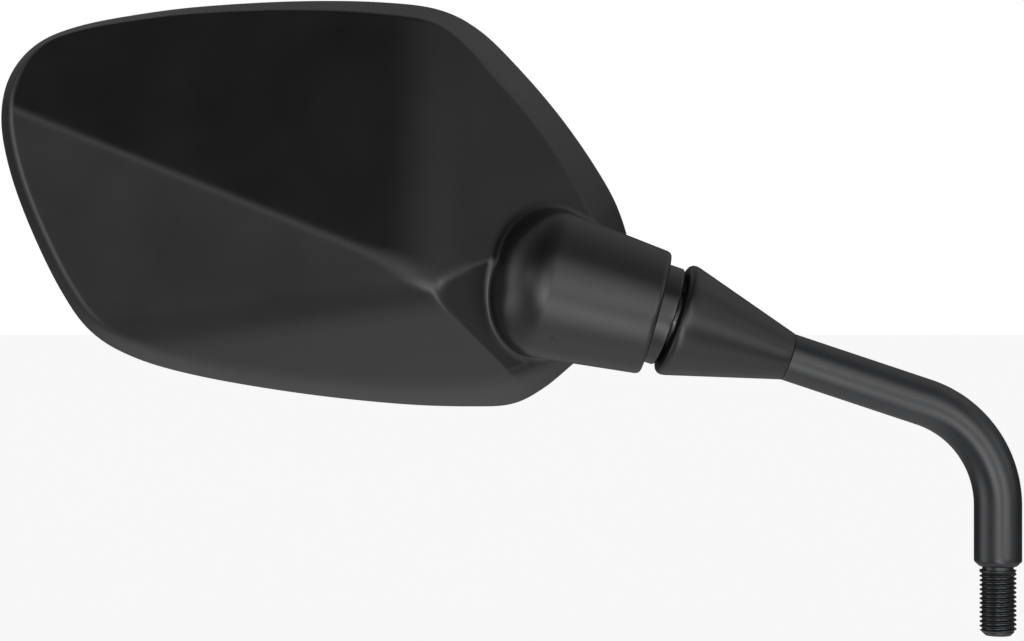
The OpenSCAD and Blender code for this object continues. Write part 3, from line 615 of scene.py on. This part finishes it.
def mirror_shell():
    """The shell and its neck as one closed section carried round: each section line runs from the rim over the
    skin to the neck's root, along the neck to its mouth, down the bore, and back through the hollow to the rim."""
    phi, tau_root, rim, normal = section_lines(SHELL_LINES)
    s_root, r_root = neck_run(tau_root)
    root = neck_point(s_root, r_root, phi)[:, [0, 2]]
    corner, length = wall_corner(rim, root)
    places = np.stack([0 * length, 0.8 * corner, corner, np.minimum(corner + 3, 0.6 * length),
                       np.maximum(length - 6, 0.7 * length), length])
    row_shares = [0, 0.1, 0.16, 0.26, 0.86, 1]     # of the rows, up to each of these places: most go to the edges
    rows = np.linspace(0, 1, SKIN_ROWS)
    way = np.array([np.interp(rows, row_shares, line) for line in places.T]).T / length
    plan = rim + way[..., None] * (root - rim)
    skin = np.stack([plan[..., 0], skin_depth(plan[..., 0], plan[..., 1]), plan[..., 1]], -1)
    skin[0, :, 1] = 0
    shares = np.linspace(0, 1, NECK_ROWS)[1:, None] ** 1.4     # closer at the root
    s, r = neck_run(tau_root * (1 - shares))
    outer = dimpled(onto_form(np.concatenate([skin, neck_point(s, r, phi + 0 * s)])))

    turn = np.linspace(0, pi / 2, 8)[1:, None]
    round_r, round_s = NECK_ROUND
    start = NECK_R + round_s * tan(NECK_TAPER)
    mouth = neck_point(round_s * (np.sin(turn) - 1), start - round_r * (1 - np.cos(turn)), phi)
    lip = [(LIP_R + LIP_CHAMFER, MOUTH_S - LIP_START), (LIP_R, MOUTH_S - LIP_CHAMFER)]
    bore = [bore_point(np.array([[s]]), np.array([[r]]), phi) for r, s in lip + NECK_BORE]

    room = NECK_R + (MOUTH_S - STEP_S) * (tan(NECK_TAPER) - tan(NECK_LEAN)) - NECK_DROP - NECK_WALL
    front = np.clip(np.cos(phi) * 4 + 0.5, 0, 1)     # the step is wide in front, and as narrow as the tube behind
    step = bore_point(np.full((1, 1), STEP_S), TUBE_R + (room - TUBE_R) * front[None], phi)
    rise = RIM_POLAR.at(np.arctan2(rim[:, 1] - PEAK[1], rim[:, 0] - PEAK[0]), RIM_RISE)
    pocket = rim - normal * (WALL + POCKET_DEPTH / rise)[:, None]
    t = (np.linspace(0, 1, HOLLOW_ROWS + 2)[1:-1] ** 1.2)[:, None, None]
    plan = step[0][:, [0, 2]] + t * (pocket - step[0][:, [0, 2]])
    hollow = np.stack([plan[..., 0], hollow_depth(plan[..., 0], plan[..., 1]), plan[..., 1]], -1)

    def at_depth(points, depth):
        """One ring of points at this depth behind the rim's plane."""
        return np.stack([points[:, 0], np.full(len(points), depth), points[:, 1]], -1)[None]

    pocket_side = [at_depth(pocket, POCKET_DEPTH), at_depth(pocket, POCKET_CHAMFER),
                   at_depth(pocket + POCKET_CHAMFER * normal, 0), at_depth(rim - RIM_EDGE * normal, 0)]
    rings = np.concatenate([outer, mouth, *bore, step, hollow, *pocket_side])
    grid_solid("mirror_shell_moulded", row_frame(rings), "head", "black_plastic", "mirror_shell", loop=True)


def hollow_depth(x, z):
    """Depth of the shell's hollow: the skin or the neck's front less the wall, kept off the housing's tube."""
    inset, rise, _ = rim_terms(x, z)
    s, up = neck_axis_coords(x, z)
    r = neck_radius(s)
    neck = np.where(np.abs(up) < r, AXIS_DEPTH + np.sqrt(np.maximum(r ** 2 - up ** 2, 0)), 0)
    depth = np.minimum(np.maximum(skin_depth(x, z), neck) - WALL_Y, rise * (inset - WALL))
    joint_s = x * cos(NECK_SLOPE) - z * sin(NECK_SLOPE)
    across = x * sin(NECK_SLOPE) + z * cos(NECK_SLOPE)
    tube = AXIS_DEPTH - np.sqrt(np.maximum(TUBE_R ** 2 - across ** 2, 0))
    depth = np.where(joint_s > STEP_S, np.minimum(depth, tube), depth)
    return np.maximum(depth, POCKET_DEPTH)


def mirror_glass():
    """The glass: rings from the crown out to the pocket's outline on a sphere, a ground edge, and back behind."""
    angle = np.linspace(0, 2 * pi, GLASS_LINES, endpoint=False)
    pocket = Polar(RIM - RIM_NORMAL * (WALL + POCKET_DEPTH / RIM_RISE[:, None] + GLASS_GAP), CROWN)
    reach = pocket.at(angle, pocket.reach)
    shares = np.concatenate([np.linspace(0.02, 0.9, 16), np.linspace(0.92, 0.985, 5)])
    behind = GLASS_SET + GLASS_T
    front = [(share * reach, GLASS_SET) for share in shares] + [(reach - GLASS_EDGE, GLASS_SET)]
    edge = [(reach, GLASS_SET + GLASS_EDGE), (reach, behind - GLASS_EDGE)]
    back = [(reach - GLASS_EDGE, behind)] + [(share * reach, behind) for share in shares[::-4]]
    rings = []
    for out, depth in front + edge + back:
        sag = GLASS_R - np.sqrt(GLASS_R ** 2 - out ** 2)
        rings.append(np.stack([CROWN[0] + out * np.cos(angle), depth + sag, CROWN[1] + out * np.sin(angle)], -1))
    grid_solid("mirror_glass_convex", row_frame(np.array(rings)), "head", "mirror", "mirror_glass")


def node_tree(material):
    """The material's node tree, emptied."""
    material.use_nodes = True
    tree = material.node_tree
    tree.nodes.clear()
    return tree


def finish_material(name, colour, second, roughness, metallic=0.0, grain=0.5, relief=0.012):
    """A finish of two tones: cloudy tone and roughness over centimetres, and a fine grain of this size and relief,
    both in millimetres."""
    material = bpy.data.materials.new(name)
    tree = node_tree(material)
    new, link = tree.nodes.new, tree.links.new
    out = new("ShaderNodeOutputMaterial")
    shader = new("ShaderNodeBsdfPrincipled")
    shader.inputs["Metallic"].default_value = metallic
    link(shader.outputs["BSDF"], out.inputs["Surface"])
    coords = new("ShaderNodeTexCoord")
    cloud = new("ShaderNodeTexNoise")
    cloud.inputs["Scale"].default_value = CLOUD_SCALE
    cloud.inputs["Detail"].default_value = 4
    link(coords.outputs["Object"], cloud.inputs["Vector"])
    fine = new("ShaderNodeTexNoise")
    fine.inputs["Scale"].default_value = 1 / (grain * MM)
    fine.inputs["Detail"].default_value = 3
    link(coords.outputs["Object"], fine.inputs["Vector"])
    tone = new("ShaderNodeMix")
    tone.data_type = "RGBA"
    tone.inputs["A"].default_value = (*colour, 1)
    tone.inputs["B"].default_value = (*second, 1)
    link(cloud.outputs["Fac"], tone.inputs["Factor"])
    link(tone.outputs["Result"], shader.inputs["Base Color"])
    rough = new("ShaderNodeMapRange")
    rough.inputs["From Min"].default_value, rough.inputs["From Max"].default_value = CLOUD_SPAN
    rough.inputs["To Min"].default_value, rough.inputs["To Max"].default_value = roughness
    link(cloud.outputs["Fac"], rough.inputs["Value"])
    link(rough.outputs["Result"], shader.inputs["Roughness"])
    bump = new("ShaderNodeBump")
    bump.inputs["Strength"].default_value = BUMP_STRENGTH
    bump.inputs["Distance"].default_value = relief * MM
    link(fine.outputs["Fac"], bump.inputs["Height"])
    link(bump.outputs["Normal"], shader.inputs["Normal"])
    return material


MATERIALS = {
    "black_plastic": finish_material("moulded matte black", (0.006, 0.006, 0.0062), (0.008, 0.008, 0.008),
                                     (0.27, 0.33), grain=0.45, relief=0.02),
    "black_paint": finish_material("satin black paint", (0.010, 0.011, 0.013), (0.013, 0.014, 0.016), (0.26, 0.32),
                                   grain=0.8, relief=0.015),
    "gloss_black": finish_material("gloss black", (0.004, 0.004, 0.004), (0.006, 0.006, 0.006), (0.14, 0.2),
                                   grain=1.2, relief=0.004),
    "plate_plastic": finish_material("moulded plate", (0.03, 0.03, 0.03), (0.04, 0.04, 0.04), (0.5, 0.6)),
    "plain_steel": finish_material("zinc-plated steel", (0.5, 0.51, 0.53), (0.6, 0.61, 0.62), (0.28, 0.4), metallic=1.0,
                                   grain=0.2, relief=0.006),
    "spring_steel": finish_material("oiled spring steel", (0.3, 0.31, 0.33), (0.38, 0.38, 0.4), (0.25, 0.35),
                                    metallic=1.0),
    "ball_steel": finish_material("ground steel", (0.62, 0.63, 0.65), (0.68, 0.68, 0.7), (0.1, 0.16), metallic=1.0,
                                  grain=0.3, relief=0.002),
    "seat_polymer": finish_material("natural acetal", (0.75, 0.74, 0.7), (0.8, 0.79, 0.76), (0.35, 0.45)),
    "cast_alloy": finish_material("die-cast alloy", (0.46, 0.47, 0.48), (0.55, 0.55, 0.56), (0.4, 0.55), metallic=1.0,
                                  grain=0.6, relief=0.03),
    "foam": finish_material("closed-cell foam", (0.045, 0.045, 0.045), (0.06, 0.06, 0.06), (0.8, 0.9), grain=0.7,
                            relief=0.08),
    "mirror": finish_material("silvered glass", (0.86, 0.89, 0.9), (0.87, 0.9, 0.9), (0.015, 0.03), metallic=1.0,
                              grain=30, relief=0.0005),
}


def dress_nodes():
    """Gives every solid of the frame the finish of its slot."""
    for part in frame["record"]["subparts"]:
        slots = frame["nodes"][part["node"]].data.materials
        slots.clear()
        slots.append(MATERIALS[part["material_slot"]])


def stage_mesh(name, points, faces, material):
    """A surface of the studio, which is no part of the object."""
    mesh = bpy.data.meshes.new(name)
    mesh.from_pydata(points, [], faces)
    mesh.materials.append(material)
    surface = bpy.data.objects.new(name, mesh)
    bpy.context.scene.collection.objects.link(surface)
    return surface


def even_material(name, colour, glow):
    """A plain matt finish with a glow of its own."""
    material = bpy.data.materials.new(name)
    tree = node_tree(material)
    out = tree.nodes.new("ShaderNodeOutputMaterial")
    shader = tree.nodes.new("ShaderNodeBsdfPrincipled")
    shader.inputs["Base Color"].default_value = (colour, colour, colour, 1)
    shader.inputs["Roughness"].default_value = 0.9
    shader.inputs["Specular IOR Level"].default_value = 0.0
    shader.inputs["Emission Color"].default_value = (1, 1, 1, 1)
    shader.inputs["Emission Strength"].default_value = glow
    tree.links.new(shader.outputs["BSDF"], out.inputs["Surface"])
    return material


def studio():
    """A pale floor and a far white surround for the eye. Gloss sees past both, to the soft lights of the sky."""
    n, r = STUDIO_SIDES, SURROUND_RADIUS
    around = np.linspace(0, 2 * pi, n, endpoint=False)
    disc = [(FLOOR_RADIUS * cos(a), FLOOR_RADIUS * sin(a), FLOOR_Z) for a in around]
    floor = stage_mesh("floor", disc, [list(range(n))], even_material("pale floor", FLOOR_TONE, FLOOR_GLOW))
    tiers = np.linspace(-pi / 2, pi / 2, STUDIO_TIERS + 1)
    points = [(r * cos(t) * cos(a), r * cos(t) * sin(a), r * sin(t)) for t in tiers for a in around]
    faces = [(i * n + k, (i + 1) * n + k, (i + 1) * n + (k + 1) % n, i * n + (k + 1) % n)
             for i in range(STUDIO_TIERS) for k in range(n)]
    surround = stage_mesh("surround", points, faces, even_material("white surround", 0.0, 1.0))
    floor.visible_glossy = False
    surround.visible_glossy = surround.visible_diffuse = surround.visible_shadow = False


def sky():
    """The studio's light: a sum of soft lobes, each exp(sharpness * (cos(angle from its axis) - 1)) times its
    strength. Azimuth runs from the camera's side towards the stem, and elevation up."""
    world = bpy.data.worlds.new("sky")
    world.use_nodes = True
    tree = world.node_tree
    link = tree.links.new
    direction = tree.nodes.new("ShaderNodeTexCoord").outputs["Generated"]
    total = None
    for azimuth, elevation, sharpness, strength in LOBES:
        a, e = radians(azimuth), radians(elevation)
        dot = tree.nodes.new("ShaderNodeVectorMath")
        dot.operation = "DOT_PRODUCT"
        dot.inputs[1].default_value = (sin(a) * cos(e), -cos(a) * cos(e), sin(e))
        link(direction, dot.inputs[0])
        fall = tree.nodes.new("ShaderNodeMath")
        fall.operation = "MULTIPLY_ADD"
        fall.inputs[1].default_value = sharpness
        fall.inputs[2].default_value = -sharpness
        link(dot.outputs["Value"], fall.inputs[0])
        lobe = tree.nodes.new("ShaderNodeMath")
        lobe.operation = "EXPONENT"
        link(fall.outputs["Value"], lobe.inputs[0])
        add = tree.nodes.new("ShaderNodeMath")
        add.operation = "MULTIPLY_ADD"
        add.inputs[1].default_value = strength
        add.inputs[2].default_value = 0.0
        link(lobe.outputs["Value"], add.inputs[0])
        if total:
            link(total, add.inputs[2])
        total = add.outputs["Value"]
    background = tree.nodes["Background"]
    background.inputs["Color"].default_value = (1, 1, 1, 1)
    link(total, background.inputs["Strength"])
    bpy.context.scene.world = world


def camera():
    """A level camera at the photograph's place, with the photograph's field of view."""
    data = bpy.data.cameras.new("camera")
    data.sensor_width = SENSOR_MM
    data.lens = FOCAL_PX / IMAGE_W * SENSOR_MM
    data.dof.use_dof = False
    eye = bpy.data.objects.new("camera", data)
    eye.location = Vector(CAMERA_AT) * MM
    eye.rotation_euler = (pi / 2, 0, 0)
    bpy.context.scene.collection.objects.link(eye)
    bpy.context.scene.camera = eye


camera()
dress_nodes()
stem_rod()
cone_cover()
joint_collar()
mirror_shell()
gate_nub()
mirror_glass()
studio()
sky()
bpy.context.scene.view_settings.view_transform = "Standard"
